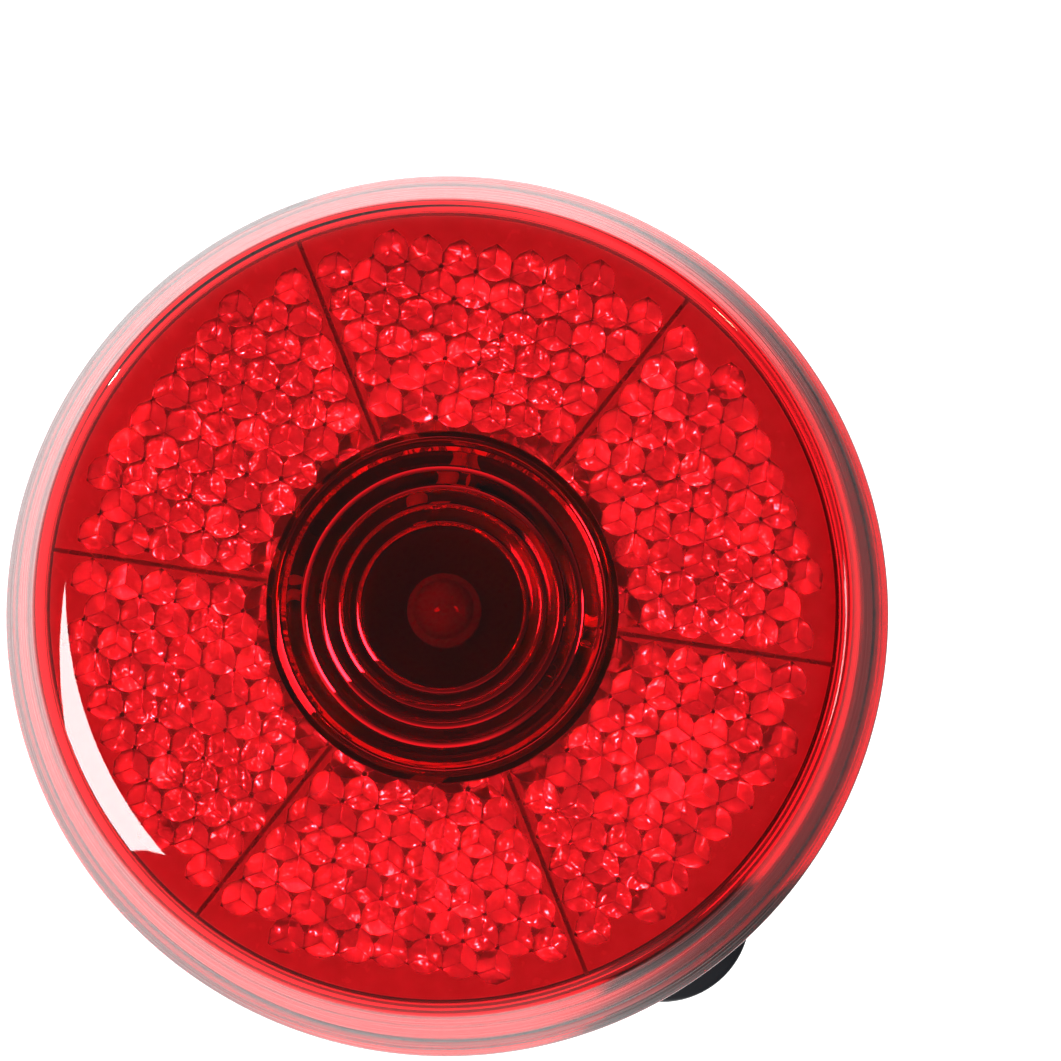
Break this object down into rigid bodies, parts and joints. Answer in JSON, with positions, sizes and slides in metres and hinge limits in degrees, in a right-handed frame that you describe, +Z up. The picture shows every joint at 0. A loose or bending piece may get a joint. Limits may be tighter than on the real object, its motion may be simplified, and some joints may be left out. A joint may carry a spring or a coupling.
{
  "type": "clip-on safety light",
  "caption": "Round clip-on safety light: domed red reflector lens on a black housing with a belt clip, a push button and a screwed battery door.",
  "frame": {"origin": "on the lens axis, in the middle of the gap between the belt clip and the back plate, where a belt or strap goes", "axes": "+X across the clip, towards the battery door; +Y backwards, out of the clip's outer face; +Z up, towards the closed end of the clip; the lens faces -Y"},
  "size_m": [0.07, 0.0198, 0.0707],
  "materials": {
    "front_lens": "clear red moulded acrylic, polished face, prisms on the inner side",
    "back_housing": "blue-black moulded ABS with a fine satin texture",
    "battery_door": "blue-black moulded ABS with a fine satin texture",
    "door_screw": "bright zinc plated steel",
    "clip_root": "black moulded acetal, slightly glossy",
    "clip_arm": "black moulded acetal, slightly glossy",
    "button_cap": "red-orange moulded plastic, glossy",
    "switch_body": "black moulded nylon",
    "switch_cover": "stamped steel",
    "switch_plunger": "black moulded plastic",
    "switch_dome": "thin spring steel",
    "switch_terminals": "tinned brass strip",
    "circuit_board": "green lacquered board",
    "board_screws": "zinc plated steel",
    "led": "clear epoxy",
    "led_leads": "tinned steel wire",
    "flasher_chip": "black epoxy blob over the chip",
    "resistor": "tan lacquered body with colour bands",
    "capacitor": "ceramic chip with tinned ends",
    "solder_joints": "bright solder",
    "button_cell": "nickel plated steel can",
    "contact_strip": "nickel plated phosphor bronze",
    "wire_red": "red PVC insulation",
    "wire_black": "black PVC insulation"
  },
  "bodies": {
    "housing": {"front_lens": "front_lens", "back_housing": "back_housing", "clip_root": "clip_root", "switch_body": "switch_body", "switch_cover": "switch_cover", "switch_dome": "switch_dome", "switch_terminals": "switch_terminals", "circuit_board": "circuit_board", "board_screws": "board_screws", "led": "led", "led_leads": "led_leads", "flasher_chip": "flasher_chip", "resistor": "resistor", "capacitor": "capacitor", "solder_joints": "solder_joints", "cell_upper": "button_cell", "cell_lower": "button_cell", "contact_positive": "contact_strip", "contact_negative": "contact_strip", "wire_positive": "wire_red", "wire_negative": "wire_black"},
    "clip": {"clip_arm": "clip_arm"},
    "button": {"button_cap": "button_cap"},
    "plunger": {"switch_plunger": "switch_plunger"},
    "door": {"battery_door": "battery_door", "contact_bridge": "contact_strip"},
    "screw": {"door_screw": "door_screw"}
  },
  "joints": [
    {"name": "clip_flex", "type": "hinge", "parent": "housing", "child": "clip", "pos_m": [0, 0.0046, 0.0252], "axis": [1, 0, 0], "range_deg": [0, 8], "stiffness_Nm_per_rad": 4, "springref_deg": -1.72},
    {"name": "button_press", "type": "slide", "parent": "housing", "child": "button", "axis": [0, -1, 0], "range_m": [0, 0.0004], "stiffness_N_per_m": 3000, "springref_m": -0.0001},
    {"name": "plunger_press", "type": "slide", "parent": "housing", "child": "plunger", "axis": [0, -1, 0], "range_m": [0, 0.0004]},
    {"name": "door_lift", "type": "slide", "parent": "housing", "child": "door", "axis": [0, 1, 0], "range_m": [0, 0.012]},
    {"name": "screw_out", "type": "slide", "parent": "door", "child": "screw", "axis": [0, 1, 0], "range_m": [0, 0.008]}
  ],
  "couplings": [
    {"joint": "plunger_press", "follows": "button_press", "ratio": 1}
  ]
}
